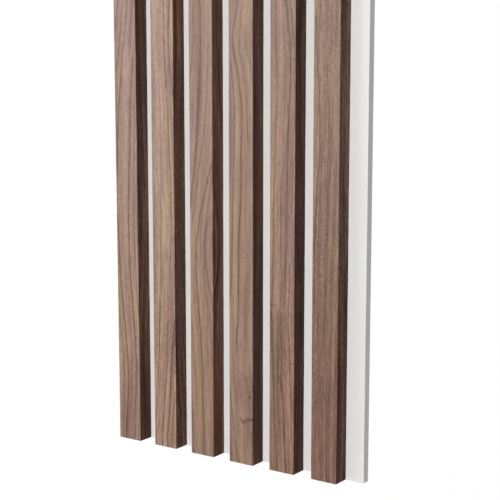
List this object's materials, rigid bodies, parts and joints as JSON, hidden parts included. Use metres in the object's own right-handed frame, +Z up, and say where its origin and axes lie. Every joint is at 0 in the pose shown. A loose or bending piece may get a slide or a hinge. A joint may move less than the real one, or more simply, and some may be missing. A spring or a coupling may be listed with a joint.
{
  "type": "slat wall panel",
  "caption": "Tall wall panel of upright walnut slats, evenly spaced on a flat white backing board that runs on by one gap at its right edge.",
  "frame": {"origin": "centre of the panel's back face, the face that goes against the wall", "axes": "+Z up along the slats, +Y into the wall, +X to the right as the slats are seen from the room"},
  "size_m": [0.3, 0.0275, 2.4],
  "materials": {
    "walnut": "matt oiled walnut",
    "white_board": "matt white lacquer on smooth board",
    "staple_wire": "galvanised wire"
  },
  "bodies": {
    "root": {"backing_board": "white_board", "slat_1": "walnut", "slat_2": "walnut", "slat_3": "walnut", "slat_4": "walnut", "slat_5": "walnut", "slat_6": "walnut", "staples": "staple_wire"}
  },
  "joints": []
}
